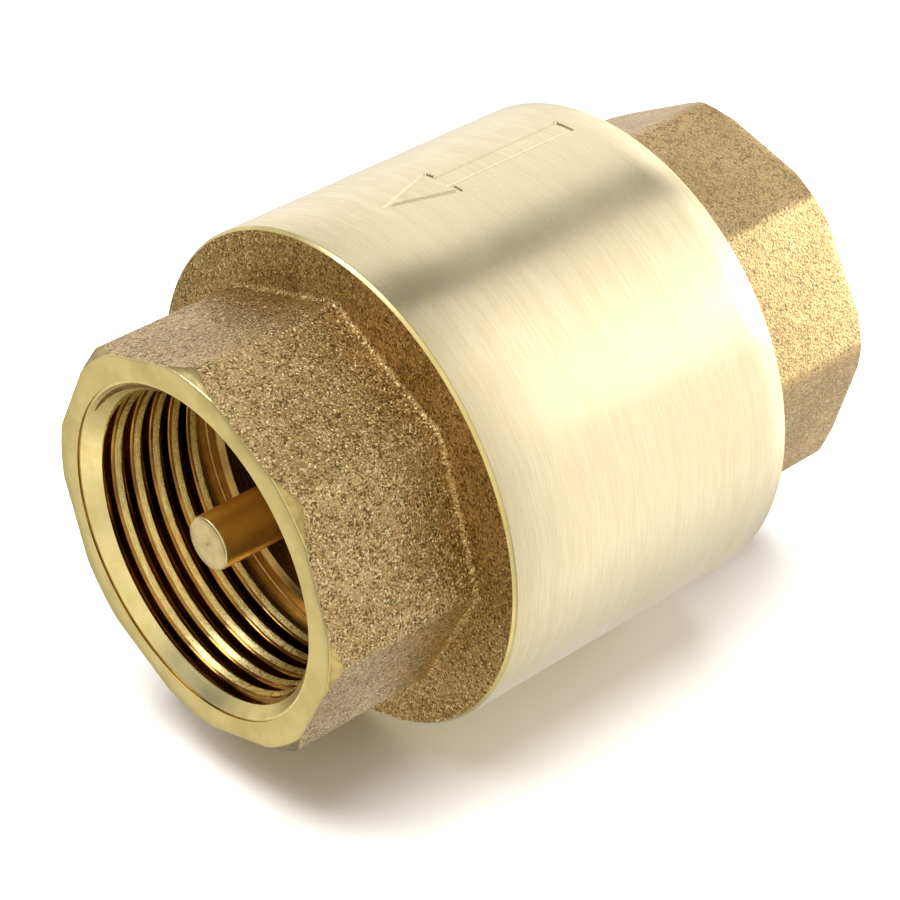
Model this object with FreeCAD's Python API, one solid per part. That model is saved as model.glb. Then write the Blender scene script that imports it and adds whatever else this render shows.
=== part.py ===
import FreeCAD, Part

import math
import os

from FreeCAD import Placement, Rotation, Vector

# In-line spring check valve, G3/4 female by G3/4 female, all brass with a guided brass core.
# Millimetres. X is the flow axis: water enters at -X and leaves at +X. Z is up. The origin is on
# the flow axis, halfway between the two end faces. The valve lies on its round body, closed.

# --- Outside -----------------------------------------------------------------------------
LENGTH = 56.0             # over the two end faces
CYLINDER_R = 20.5         # the turned barrel
OUTLET_NECK = 13.5        # octagon, from end face to shoulder face
INLET_NECK = 13.8
FLATS = 30.8              # across flats, for a 31 mm spanner
CORNER_R = 1.5            # rounding of the octagon's long corners
NECK_FILLET = 0.4         # octagon into shoulder face
OUTLET_TURN = 18.3        # degrees from +Y to the normal of one flat
INLET_TURN = 29.1         # the inlet half stops turning where its joint is tight
FACE_R = 15.8             # the end face is turned to this radius
FACE_SLOPE = 1.2          # radial rise of the corner chamfer for each mm along the axis
RIM_CHAMFER = 0.3         # on both edges of the barrel

X_OUT = LENGTH / 2
X_IN = -LENGTH / 2
X_FRONT = X_OUT - OUTLET_NECK
X_BACK = X_IN + INLET_NECK

OVERRUN = 0.5             # cutting tools run this far past the faces they cut
TOLERANCE = 1e-4

# --- Pipe threads, G3/4: 14 turns an inch, Whitworth form -----------------------------------
PIPE_PITCH = 25.4 / 14
PIPE_MAJOR_R = 13.2205
PIPE_MINOR_R = 12.0585
OUTLET_CREST_R = 12.3     # drilled 24.6 mm before tapping, so the crests stay flat
INLET_CREST_R = 12.1
MOUTH_R = 13.6            # 45 degree chamfer at the mouth
FLANK_ANGLE = 27.5
FIRST_CREST = 2.6         # depth of the first whole crest
THREAD_DEPTH = 10.4
RELIEF_R = 13.4           # run-out groove behind the thread
RELIEF_DEPTH = 12.1
SHOULDER_DEPTH = 12.5
SHOULDER_R = 12.3
OUTLET_PORT_R = 11.8
INLET_PORT_R = 10.2

# --- The joint between the halves, M37 x 1.5 -------------------------------------------------
JOINT_PITCH = 1.5
JOINT_MAJOR_R = 18.5
JOINT_MINOR_R = 17.6
JOINT_END_X = -9.9
NOSE_R = 17.5
NOSE_X = -7.0             # nose of the inlet half, against the step in the body
NOSE_CHAMFER = 0.2
SEAM_CHAMFER = 0.25       # on both halves where their joint shows in the back face
CHAMBER_R = 16.6
RADIAL_GAP = 0.05         # nose in its bore, and thread flank to flank
GROOVE_BOTTOM_R = 16.3
GROOVE_X = (-9.0, -7.4)
O_RING_GAP = 0.02

# --- Seat, guide and core --------------------------------------------------------------------
SEAT_X = -6.0
SEAT_R = (10.2, 11.4)
SEAT_ROUND = 0.3
CHAMBER_END_X = 5.0
GUIDE_X = (9.6, 12.0)
GUIDE_LEAD = 1.0          # straight part of the guide's bore ahead of the ring
GUIDE_RING_R = (11.8, 14.0)
HUB_R = 4.0
HUB_X = (5.7, 15.0)
SPOKE_COUNT = 4
SPOKE_WIDTH = 2.2
SPOKE_TURN = 63.3
BUSH_R = 3.0
BUSH_FLANGE_R = 3.7
BUSH_X = (5.1, 14.6)
STEM_R = 2.2
STEM_GAP = 0.05           # running clearance of the stem in its bush
STEM_TIP_X = X_OUT - 1.7
TIP_CHAMFER = 0.25
COLLAR_R = 3.4
COLLAR_X = (-2.2, -1.0)
COLLAR_CHAMFER = 0.3
STUD_R = 1.98             # M4 end of the stem
STUD_CHAMFER = 0.4
HOLE_R = 2.0
STUD_END_X = -12.6
DISC_R = 13.0
DISC_X = (-4.0, -2.2)
RIM_X = -5.2
PLATE_CHAMFER = 0.5       # outer edges of the disc and of the seal washer
SEAL_R = 12.3
WASHER_R = 9.4
WASHER_X = (-7.0, SEAT_X)
LOCK_R = 3.8
LOCK_X = (-7.9, WASHER_X[0])
LOCK_GAP = 0.8
NUT_FLATS = 7.0
NUT_X = (-11.1, LOCK_X[0])
NUT_CHAMFER_ANGLE = 30
WIRE_R = 0.4
SPRING_R = 6.0
SPRING_TURNS = 5.0
SPRING_GAP = 0.06         # keeps the round wire off the faces that it bears on

# --- Flow arrow, engraved on the barrel -------------------------------------------------------
ARROW_TURN = 4.5          # degrees from the top towards -Y
ARROW_X = (-11.0, 7.0)
ARROW_HEAD = 5.5
ARROW_HALF = (0.9, 2.0)   # half widths of the shaft and of the head
ARROW_LINE = 0.35
ARROW_DEPTH = 0.12

AXIS = Vector(1, 0, 0)
ORIGIN = Vector(0, 0, 0)


def turned(points):
    """Solid of revolution about the flow axis from (x, r) points."""
    corners = [Vector(x, 0, r) for x, r in points]
    face = Part.Face(Part.makePolygon(corners + corners[:1]))
    return face.revolve(ORIGIN, AXIS, 360)


def rod(x0, x1, radius):
    return Part.makeCylinder(radius, x1 - x0, Vector(x0, 0, 0), AXIS)


def tube(x0, x1, inner, outer):
    return rod(x0, x1, outer).cut(rod(x0 - OVERRUN, x1 + OVERRUN, inner))


def prism(x0, x1, across_flats, sides, turn):
    """Regular prism along X, with the normal of one flat turned from +Y about X."""
    corner = across_flats / 2 / math.cos(math.pi / sides)
    angles = [math.radians(turn) + (2 * k + 1) * math.pi / sides for k in range(sides)]
    points = [Vector(x0, corner * math.cos(a), corner * math.sin(a)) for a in angles]
    face = Part.Face(Part.makePolygon(points + points[:1]))
    return face.extrude(Vector(x1 - x0, 0, 0))


def thread_profile(start, end, first_crest, pitch, root_r, crest_r, crest_flat, root_flat):
    """(depth, r) points of ring-shaped thread grooves, one for each pitch between two depths."""
    points = []
    crest = first_crest - pitch * math.ceil((first_crest - start) / pitch)
    while crest < end + pitch:
        root = crest + pitch / 2
        points += [(crest - crest_flat / 2, crest_r), (crest + crest_flat / 2, crest_r)]
        points += [(root - root_flat / 2, root_r), (root + root_flat / 2, root_r)]
        crest += pitch
    return points


def limited(points, start, end):
    """The part of a profile between two depths, cut off square at both."""
    def radius_at(depth):
        for (x0, r0), (x1, r1) in zip(points, points[1:]):
            if x0 <= depth <= x1:
                return r0 + (r1 - r0) * (depth - x0) / (x1 - x0)
        raise ValueError("depth outside the thread profile")

    inside = [(x, r) for x, r in points if start < x < end]
    return [(start, radius_at(start))] + inside + [(end, radius_at(end))]


def pipe_socket(mouth_x, inward, crest_r):
    """Space of a threaded pipe socket, to cut away: chamfer, thread, run-out groove and shoulder."""
    slope = math.tan(math.radians(FLANK_ANGLE))
    root_flat = (PIPE_PITCH - 2 * (PIPE_MAJOR_R - PIPE_MINOR_R) * slope) / 2
    crest_flat = root_flat + 2 * (crest_r - PIPE_MINOR_R) * slope
    profile = thread_profile(
        -OVERRUN, THREAD_DEPTH, FIRST_CREST, PIPE_PITCH, PIPE_MAJOR_R, crest_r,
        crest_flat, root_flat)
    points = [(-OVERRUN, 0)] + limited(profile, -OVERRUN, THREAD_DEPTH)
    points += [(THREAD_DEPTH, RELIEF_R), (RELIEF_DEPTH, RELIEF_R)]
    points += [(RELIEF_DEPTH, SHOULDER_R), (SHOULDER_DEPTH, OUTLET_PORT_R), (SHOULDER_DEPTH, 0)]
    thread = turned([(mouth_x + inward * d, r) for d, r in points])
    end = MOUTH_R - OUTLET_PORT_R
    chamfer = [(-OVERRUN, 0), (-OVERRUN, MOUTH_R + OVERRUN), (end, OUTLET_PORT_R), (end, 0)]
    mouth = turned([(mouth_x + inward * d, r) for d, r in chamfer])
    return thread.fuse(mouth)


def neck(mouth_x, shoulder_x, turn):
    """Octagon end with rounded corners, its face turned and its corners chamfered on the lathe."""
    low, high = sorted((mouth_x, shoulder_x))
    block = prism(low, high, FLATS, 8, turn)
    long_edges = [e for e in block.Edges if e.BoundBox.XLength > CORNER_R]
    block = block.makeFillet(CORNER_R, long_edges)
    away = math.copysign(1, shoulder_x - mouth_x)
    chamfer_end = (FLATS - FACE_R) / FACE_SLOPE
    envelope = [(0, 0), (0, FACE_R), (chamfer_end, FLATS), (LENGTH, FLATS), (LENGTH, 0)]
    return block.common(turned([(mouth_x + away * d, r) for d, r in envelope]))


def with_neck(base, mouth_x, shoulder_x, turn):
    """Octagon neck fused to a round base and filleted into its shoulder face."""
    joined = base.fuse(neck(mouth_x, shoulder_x, turn)).removeSplitter()
    corner_reach = FLATS / 2 / math.cos(math.pi / 8)
    foot = []
    for edge in joined.Edges:
        box = edge.BoundBox
        flat = box.XLength < TOLERANCE and abs(box.XMin - shoulder_x) < TOLERANCE
        middle = edge.valueAt((edge.FirstParameter + edge.LastParameter) / 2)
        if flat and math.hypot(middle.y, middle.z) < corner_reach:
            foot.append(edge)
    return joined.makeFillet(NECK_FILLET, foot)


def arrow_engraving():
    """Outline of a plain flow arrow pointing at the outlet, as a shallow band to cut away."""
    tail, tip = ARROW_X
    shaft, head = ARROW_HALF
    base = tip - ARROW_HEAD
    half = [(tail, shaft), (base, shaft), (base, head), (tip, 0)]
    corners = half + [(x, -y) for x, y in reversed(half[:-1])]
    points = [Vector(x, y, CYLINDER_R - OVERRUN) for x, y in corners]
    outline = Part.makePolygon(points + points[:1])
    inside = outline.makeOffset2D(-ARROW_LINE)
    band = Part.Face(outline).cut(Part.Face(inside)).extrude(Vector(0, 0, 2 * OVERRUN))
    skin = tube(tail - OVERRUN, tip + OVERRUN, CYLINDER_R - ARROW_DEPTH, CYLINDER_R + OVERRUN)
    return band.common(skin).rotate(ORIGIN, AXIS, ARROW_TURN)


def joint_thread(grow):
    """(x, r) points of the joint's ring-shaped thread grooves, moved outward by grow."""
    profile = thread_profile(
        X_BACK, JOINT_END_X, X_BACK, JOINT_PITCH,
        JOINT_MINOR_R + grow, JOINT_MAJOR_R + grow, JOINT_PITCH / 8, JOINT_PITCH / 4)
    return limited(profile, X_BACK + SEAM_CHAMFER, JOINT_END_X)


def body():
    """Outlet half: barrel, octagon, chamber, guide seat and pipe socket in one forging."""
    c = RIM_CHAMFER
    r = CYLINDER_R
    barrel = turned([(X_BACK, 0), (X_BACK, r - c), (X_BACK + c, r), (X_FRONT - c, r),
                     (X_FRONT, r - c), (X_FRONT, 0)])
    shell = with_neck(barrel, X_OUT, X_FRONT, OUTLET_TURN)
    shell = shell.cut(pipe_socket(X_OUT, -1, OUTLET_CREST_R))
    bore = NOSE_R + RADIAL_GAP
    seat = GUIDE_RING_R[1] + RADIAL_GAP
    mouth_r = JOINT_MAJOR_R + RADIAL_GAP + SEAM_CHAMFER
    socket_end = X_OUT - RELIEF_DEPTH
    points = [(X_BACK - OVERRUN, 0), (X_BACK - OVERRUN, mouth_r), (X_BACK, mouth_r)]
    points += joint_thread(RADIAL_GAP)
    points += [(JOINT_END_X, bore), (NOSE_X, bore), (NOSE_X, CHAMBER_R)]
    points += [(CHAMBER_END_X, CHAMBER_R), (GUIDE_X[0] - GUIDE_LEAD, seat), (GUIDE_X[1], seat)]
    points += [(GUIDE_X[1], OUTLET_PORT_R), (socket_end, OUTLET_PORT_R), (socket_end, 0)]
    return shell.cut(turned(points)).cut(arrow_engraving())


def end_connection():
    """Inlet half: octagon, joint thread, nose with O-ring groove, and the raised seat."""
    points = [(X_BACK, 0), (X_BACK, JOINT_MAJOR_R - SEAM_CHAMFER)] + joint_thread(0)
    points += [(JOINT_END_X, NOSE_R), (GROOVE_X[0], NOSE_R), (GROOVE_X[0], GROOVE_BOTTOM_R)]
    points += [(GROOVE_X[1], GROOVE_BOTTOM_R), (GROOVE_X[1], NOSE_R)]
    points += [(NOSE_X - NOSE_CHAMFER, NOSE_R), (NOSE_X, NOSE_R - NOSE_CHAMFER)]
    points += [(NOSE_X, SEAT_R[1]), (SEAT_X - SEAT_ROUND, SEAT_R[1])]
    points += [(SEAT_X, SEAT_R[1] - SEAT_ROUND), (SEAT_X, SEAT_R[0] + SEAT_ROUND)]
    points += [(SEAT_X - SEAT_ROUND, SEAT_R[0]), (SEAT_X - SEAT_ROUND, 0)]
    shell = with_neck(turned(points), X_IN, X_BACK, INLET_TURN)
    port = rod(X_IN + THREAD_DEPTH, SEAT_X + OVERRUN, INLET_PORT_R)
    socket = pipe_socket(X_IN, 1, INLET_CREST_R)
    return shell.cut(socket).cut(port)


def joint_o_ring():
    """Seals the nose of the inlet half in the body."""
    cord_r = (NOSE_R + RADIAL_GAP - GROOVE_BOTTOM_R) / 2 - O_RING_GAP
    ring = Part.makeTorus(GROOVE_BOTTOM_R + O_RING_GAP + cord_r, cord_r, ORIGIN, AXIS)
    ring.translate(Vector(sum(GROOVE_X) / 2, 0, 0))
    return ring


def outlet_guide():
    """Brass spider: a ring in the body, spokes, and the hub that carries the stem's bush."""
    inner, outer = GUIDE_RING_R
    solid = tube(GUIDE_X[0], GUIDE_X[1], inner, outer).fuse(rod(HUB_X[0], HUB_X[1], HUB_R))
    for k in range(SPOKE_COUNT):
        size = (GUIDE_X[1] - GUIDE_X[0], (inner + outer) / 2, SPOKE_WIDTH)
        spoke = Part.makeBox(*size, Vector(GUIDE_X[0], 0, -SPOKE_WIDTH / 2))
        solid = solid.fuse(spoke.rotate(ORIGIN, AXIS, SPOKE_TURN + k * 360 / SPOKE_COUNT))
    bore = rod(HUB_X[0] - OVERRUN, HUB_X[1] + OVERRUN, BUSH_R)
    return solid.cut(bore).removeSplitter()


def guide_bush():
    """Flanged plastic bush in the hub. Its flange stops the core at full lift."""
    flange = rod(BUSH_X[0], HUB_X[0], BUSH_FLANGE_R)
    sleeve = rod(HUB_X[0], BUSH_X[1], BUSH_R)
    bore = rod(BUSH_X[0] - OVERRUN, BUSH_X[1] + OVERRUN, STEM_R + STEM_GAP)
    return flange.fuse(sleeve).cut(bore).removeSplitter()


def stem():
    """Brass rod: M4 end, collar against the disc, and the long end that shows in the outlet."""
    tip = STEM_TIP_X
    end = STUD_END_X
    return turned([(end, 0), (end, STUD_R - STUD_CHAMFER), (end + STUD_CHAMFER, STUD_R),
                   (COLLAR_X[0], STUD_R), (COLLAR_X[0], COLLAR_R),
                   (COLLAR_X[1] - COLLAR_CHAMFER, COLLAR_R),
                   (COLLAR_X[1], COLLAR_R - COLLAR_CHAMFER), (COLLAR_X[1], STEM_R),
                   (tip - TIP_CHAMFER, STEM_R), (tip, STEM_R - TIP_CHAMFER), (tip, 0)])


def valve_disc():
    """Brass plate with a rim that holds the seal's edge."""
    return turned([(RIM_X, SEAL_R), (RIM_X, DISC_R), (DISC_X[1] - PLATE_CHAMFER, DISC_R),
                   (DISC_X[1], DISC_R - PLATE_CHAMFER), (DISC_X[1], HOLE_R),
                   (DISC_X[0], HOLE_R), (DISC_X[0], SEAL_R)])


def seat_seal():
    """Flat rubber ring in the disc's rim. It bears on the seat."""
    return tube(SEAT_X, DISC_X[0], HOLE_R, SEAL_R)


def seal_washer():
    """Brass plate that clamps the seal to the disc, inside the seat."""
    return turned([(WASHER_X[0], HOLE_R), (WASHER_X[0], WASHER_R - PLATE_CHAMFER),
                   (WASHER_X[0] + PLATE_CHAMFER, WASHER_R), (WASHER_X[1], WASHER_R),
                   (WASHER_X[1], HOLE_R)])


def lock_washer():
    """Split spring washer under the nut."""
    ring = tube(LOCK_X[0], LOCK_X[1], HOLE_R, LOCK_R)
    size = (LOCK_X[1] - LOCK_X[0] + 2 * OVERRUN, LOCK_R + OVERRUN, LOCK_GAP)
    return ring.cut(Part.makeBox(*size, Vector(LOCK_X[0] - OVERRUN, 0, -LOCK_GAP / 2)))


def stem_nut():
    """M4 hexagon nut, chamfered on both faces."""
    low, high = NUT_X
    corner = NUT_FLATS / 2 / math.cos(math.pi / 6)
    edge = NUT_FLATS / 2
    rise = (corner - edge) * math.tan(math.radians(NUT_CHAMFER_ANGLE))
    chamfers = turned([(low, 0), (low, edge), (low + rise, corner), (high - rise, corner),
                       (high, edge), (high, 0)])
    nut = prism(low, high, NUT_FLATS, 6, 0).common(chamfers)
    return nut.cut(rod(low - OVERRUN, high + OVERRUN, HOLE_R))


def spring():
    """Compression spring between the disc and the guide's spokes, drawn as one even helix."""
    x0 = DISC_X[1] + WIRE_R + SPRING_GAP
    x1 = GUIDE_X[0] - WIRE_R - SPRING_GAP
    helix = Part.makeHelix((x1 - x0) / SPRING_TURNS, x1 - x0, SPRING_R)
    first = helix.Edges[0]
    start = first.valueAt(first.FirstParameter)
    section = Part.makeCircle(WIRE_R, start, first.tangentAt(first.FirstParameter))
    wire = Part.Wire(helix).makePipeShell([Part.Wire(section)], True, True)
    along_x = Placement(Vector(x0, 0, 0), Rotation(Vector(0, 1, 0), 90))
    wire.Placement = along_x.multiply(wire.Placement)
    return wire


PARTS = {
    "body": body,
    "end_connection": end_connection,
    "joint_o_ring": joint_o_ring,
    "outlet_guide": outlet_guide,
    "guide_bush": guide_bush,
    "stem": stem,
    "valve_disc": valve_disc,
    "seat_seal": seat_seal,
    "seal_washer": seal_washer,
    "lock_washer": lock_washer,
    "stem_nut": stem_nut,
    "spring": spring,
}

os.makedirs("parts", exist_ok=True)
for name, make in PARTS.items():
    shape = make()
    solids = shape.Solids
    if len(solids) != 1 or not solids[0].isValid():
        raise RuntimeError(name + " is not one valid solid")
    solids[0].exportStep("parts/" + name + ".step")
    box = shape.BoundBox
    print(f"{name}: {shape.Volume:.1f} mm3, x {box.XMin:.2f} to {box.XMax:.2f}")
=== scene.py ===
"""Looks of the in-line spring check valve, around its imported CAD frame. Metres; X is the flow axis."""

import math

import bmesh
import bpy
import numpy as np
from mathutils import Matrix, Vector


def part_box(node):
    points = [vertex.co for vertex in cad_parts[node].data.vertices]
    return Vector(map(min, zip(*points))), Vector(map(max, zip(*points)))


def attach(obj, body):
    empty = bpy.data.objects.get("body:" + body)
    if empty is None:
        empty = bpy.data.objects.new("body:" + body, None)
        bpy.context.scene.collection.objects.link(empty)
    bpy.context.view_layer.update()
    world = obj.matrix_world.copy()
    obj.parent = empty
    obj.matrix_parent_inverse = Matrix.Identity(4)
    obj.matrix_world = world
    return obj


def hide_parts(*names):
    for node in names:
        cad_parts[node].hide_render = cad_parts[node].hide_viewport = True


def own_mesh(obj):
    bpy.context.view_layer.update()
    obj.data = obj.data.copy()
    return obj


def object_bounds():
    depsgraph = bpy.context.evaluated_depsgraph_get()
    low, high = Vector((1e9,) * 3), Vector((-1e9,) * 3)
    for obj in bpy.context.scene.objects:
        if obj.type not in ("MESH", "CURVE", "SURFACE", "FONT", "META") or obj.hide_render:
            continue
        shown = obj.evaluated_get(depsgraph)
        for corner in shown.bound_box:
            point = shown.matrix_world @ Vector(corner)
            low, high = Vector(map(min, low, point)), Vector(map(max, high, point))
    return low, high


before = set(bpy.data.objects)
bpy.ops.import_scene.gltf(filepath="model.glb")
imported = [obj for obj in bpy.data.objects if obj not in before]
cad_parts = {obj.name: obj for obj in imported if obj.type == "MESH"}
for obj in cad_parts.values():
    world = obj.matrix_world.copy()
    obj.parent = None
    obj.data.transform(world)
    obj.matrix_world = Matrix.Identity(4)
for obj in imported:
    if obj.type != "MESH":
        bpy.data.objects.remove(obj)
cad_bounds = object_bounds()

MM = 0.001
BODY_LOW, BODY_HIGH = (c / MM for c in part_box("body"))
STEM_LOW, STEM_HIGH = (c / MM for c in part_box("stem"))
SPRING_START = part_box("valve_disc")[1].x / MM   # face of the disc
SPRING_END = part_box("spring")[1].x / MM         # just clear of the guide's spokes

# --- Sizes in millimetres, as in the CAD source unless a comment gives its value -------------------
X_OUT = BODY_HIGH.x
X_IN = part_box("end_connection")[0].x / MM
X_BACK = BODY_LOW.x
BARREL_R = BODY_HIGH.z
OUTLET_NECK = 13.5
INLET_NECK = X_BACK - X_IN
FLATS = 30.8
CORNER_R = 1.5
NECK_FILLET = 0.4
OUTLET_TURN = 18.3
INLET_TURN = 29.1
FACE_R = 15.8
FACE_SLOPE = 1.2
RIM_CHAMFER = 0.24             # CAD source: 0.3
X_FRONT = X_OUT - OUTLET_NECK

PITCH = 25.4 / 14
MAJOR_R = 13.2205
MINOR_R = 12.0585
OUTLET_CREST_R = 12.3
INLET_CREST_R = 12.1
MOUTH_R = 13.6
CONE_END = 0.3
FLARE_END = math.radians(78)   # the neck flares out and meets the shoulder in a crease
LIP = 0.13                     # small step between the mouth face and its cone
THREAD_DEPTH = 10.4
RELIEF_R = 13.4
RELIEF_DEPTH = 12.1
SHOULDER_R = 12.3
SHOULDER_DEPTH = 12.5
OUTLET_PORT_R = 11.8
INLET_PORT_R = 10.2
FLANK = math.tan(math.radians(27.5))
OUTLET_PHASE = 2.87 + PITCH * 175 / 360   # depth of a crest where the column angle is 0
INLET_PHASE = 1.9
CREST_INNER, CREST_OUTER = 0.26, -0.22    # ends of the rubbed crest, from its middle
CREST_LEAN = math.tan(math.radians(24))   # the tap rubs the crests towards the mouth
CREST_SOFTNESS = 0.05

JOINT_PITCH = 1.5                         # joint between the halves
JOINT_MAJOR_R, JOINT_MINOR_R = 18.5, 17.6
JOINT_END_X = -9.9
JOINT_LEAD = 0.3                          # smooth part ahead of the joint's thread
SEAM_CHAMFER = 0.25
RADIAL_GAP = 0.05
NOSE_R, NOSE_X = 17.5, -7.0
NOSE_CHAMFER = 0.2
GROOVE_X, GROOVE_BOTTOM_R = (-9.0, -7.4), 16.3
SEAT_X = -6.0
SEAT_R = (10.2, 11.4)
SEAT_ROUND = 0.3
CHAMBER_R, CHAMBER_END_X = 16.6, 5.0
GUIDE_X, GUIDE_LEAD = (9.6, 12.0), 1.0
GUIDE_RING_R = 14.0

STEM_R = 2.2
COLLAR_R, COLLAR_X = 3.4, (-2.2, -1.0)
COLLAR_CHAMFER = 0.2                      # CAD source: 0.3
STUD_R, STUD_ROOT_R = 1.98, 1.62
STUD_CREST_R = 1.95
STUD_THREAD_X = -7.9                      # the nut's thread starts here
STUD_CHAMFER = 0.4
STUD_TURNS = 7
WIRE_R, SPRING_R = 0.4, 6.0
SPRING_TURNS = 6.0                        # CAD source: 5, without closed ends
CLOSED_TURNS = 0.9                        # closed and ground at each end
COIL_STEP = 2 * WIRE_R * 1.04             # closed turns lie this far apart

# --- Column angles, in degrees from +Y towards +Z ------------------------------------------------


def column_angles(turn, fine=()):
    """Angles once round, closer together at the octagon's corners and in the fine ranges."""
    angles = list(np.arange(0, 360, 1.0))
    for k in range(8):
        corner = turn + 22.5 + 45 * k
        angles += list(corner + np.arange(-5, 5.01, 0.5))
    for low, high, step in fine:
        angles = [a for a in angles if not low - 0.15 < a % 360 < high + 0.15]
        angles += list(np.arange(low, high + step / 2, step))
    angles = np.sort(np.array(angles) % 360)
    keep = np.append(True, np.diff(angles) > 0.12)
    angles = angles[keep]
    return np.append(angles, angles[0] + 360)


def octagon(phi, turn, grow=0.0):
    """Radius of the round-cornered octagon at each angle, its outline moved outward by grow."""
    apothem, corner = FLATS / 2 + grow, CORNER_R + grow
    straight = (FLATS / 2 - CORNER_R) * math.tan(math.pi / 8)
    centre = (FLATS / 2 - CORNER_R) / math.cos(math.pi / 8)
    off = np.radians(np.abs((phi - turn + 22.5) % 45 - 22.5))
    flat_r = apothem / np.cos(off)
    swing = math.pi / 8 - off
    round_r = centre * np.cos(swing) + np.sqrt(np.maximum(corner ** 2 - (centre * np.sin(swing)) ** 2, 0))
    return np.where(off < math.atan(straight / apothem), flat_r, round_r)


def soft_clip(value, low, high, soft):
    """value kept between low and high, with rounded transitions."""
    above = 0.5 * (value + low + np.sqrt((value - low) ** 2 + soft ** 2))
    return 0.5 * (above + high - np.sqrt((above - high) ** 2 + soft ** 2))


def thread_radius(offset, crest_r):
    """Radius of the pipe thread at an axial offset from a crest's middle, counted inward from the mouth."""
    root_half = (PITCH - 2 * (MAJOR_R - MINOR_R) * FLANK) / 4
    offset = ((offset / PITCH + 0.5) % 1 - 0.5) * PITCH
    line = MAJOR_R - (PITCH / 2 - root_half - np.abs(offset)) / FLANK
    crest = crest_r + CREST_LEAN * np.maximum(0, CREST_INNER - offset)
    return soft_clip(line, crest, MAJOR_R, CREST_SOFTNESS)


class Skin:
    """Closed surface of rows around the flow axis. Each row has an x and a radius for every column."""

    def __init__(self, phi):
        self.phi = phi
        self.rows = []
        self.bands = []
        self.arrow_after = None

    def row(self, x, r, band):
        """Adds a row; band is the material of the faces between it and the next row."""
        ones = np.ones(len(self.phi))
        self.rows.append((x * ones, r * ones))
        self.bands.append(band)

    def ring(self, points, band):
        for x, r in points:
            self.row(x, r, band)

    def mesh(self, name, slots):
        phi = np.radians(self.phi)
        xs = np.array([x for x, _ in self.rows])
        rs = np.array([r for _, r in self.rows])
        points = np.stack([xs, rs * np.cos(phi), rs * np.sin(phi)], -1) * MM
        n_rows, n = xs.shape
        order = list(range(n_rows)) + [0]
        low, high = np.array(order[:-1]), np.array(order[1:])
        j = np.arange(n - 1)
        a = low[:, None] * n + j
        b = high[:, None] * n + j
        quads = np.stack([a, a + 1, b + 1, b], -1).reshape(-1, 4)
        names = [np.broadcast_to(self.bands[i], n)[:-1] for i in low]
        bands = [slots.index(band) for row in names for band in row]
        points, quads = points.reshape(-1, 3), quads.tolist()
        if self.arrow_after is not None:
            points, quads, bands = arrow_patch(self, points, quads, bands, self.arrow_after)
        return solid_mesh(name, points, quads, bands, len(slots))


def solid_mesh(name, points, faces, bands, n_slots, sharp=28.0):
    """Mesh with merged corners, faces turned outward and edges above an angle kept sharp."""
    mesh = bpy.data.meshes.new(name)
    mesh.from_pydata(points, [], faces)
    for _ in range(n_slots):
        mesh.materials.append(None)
    mesh.polygons.foreach_set("material_index", bands)
    bm = bmesh.new()
    bm.from_mesh(mesh)
    bmesh.ops.remove_doubles(bm, verts=bm.verts, dist=2e-7)
    bmesh.ops.dissolve_degenerate(bm, edges=bm.edges, dist=1e-8)
    bmesh.ops.recalc_face_normals(bm, faces=bm.faces)
    for face in bm.faces:
        face.smooth = True
    limit = math.radians(sharp)
    for edge in bm.edges:
        edge.smooth = not (len(edge.link_faces) == 2 and edge.calc_face_angle(0) > limit)
    bm.to_mesh(mesh)
    bm.free()
    return mesh


def add_piece(name, mesh, materials, body, slot, *nodes):
    """Puts a mesh in the scene, riding on a body and standing for CAD nodes."""
    piece = bpy.data.objects.new(name, mesh)
    bpy.context.scene.collection.objects.link(piece)
    for i, material in enumerate(materials):
        mesh.materials[i] = material
    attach(piece, body)
    if nodes:
        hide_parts(*nodes)
    return piece


# --- Outer skin of an octagon neck and its shoulder ----------------------------------------------

FLAT_ROWS = 20   # rows along the octagon's flats
FOOT_ROWS = 6    # rows of the flare, and of the shoulder


def neck_outside(skin, mouth_x, away, length, turn, shoulder_r):
    """Mouth face, lathe chamfers, octagon, fillet and shoulder face, from the mouth outward."""
    phi = skin.phi
    outline = octagon(phi, turn)
    face_r = np.minimum(outline, FACE_R)
    skin.row(mouth_x + away * LIP, MOUTH_R - LIP, "mouth")
    skin.row(mouth_x + away * LIP, MOUTH_R + 0.06, "thread")
    skin.row(mouth_x, MOUTH_R + 0.08, "turned")
    skin.row(mouth_x, face_r - 0.10, "turned")
    skin.row(mouth_x + away * 0.03, face_r - 0.03, "turned")
    skin.row(mouth_x + away * 0.10, face_r, "corner")
    chamfer = 0.10 + np.maximum(0, (outline - FACE_R) / FACE_SLOPE)
    radius = NECK_FILLET / (1 - math.cos(FLARE_END))
    start = length - radius * math.sin(FLARE_END)
    for share in np.linspace(0, 1, FLAT_ROWS):
        depth = chamfer + (start - chamfer) * share
        skin.row(mouth_x + away * depth, outline, "cast")
    for k in range(1, FOOT_ROWS):
        angle = k / FOOT_ROWS * FLARE_END
        grown = octagon(phi, turn, radius * (1 - math.cos(angle)))
        skin.row(mouth_x + away * (start + radius * math.sin(angle)), grown, "cast")
    foot = octagon(phi, turn, NECK_FILLET + 0.08)
    for k in range(FOOT_ROWS):
        skin.row(mouth_x + away * length, foot + (shoulder_r - foot) * k / FOOT_ROWS, "cast")


# --- Pipe socket with a helical thread ------------------------------------------------------------

THREAD_STATIONS = (0.0, 0.12, 0.20, 0.25, 0.275, 0.31, 0.36, 0.41, 0.44, 0.47, 0.54, 0.62, 0.70, 0.76, 0.83)


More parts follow.
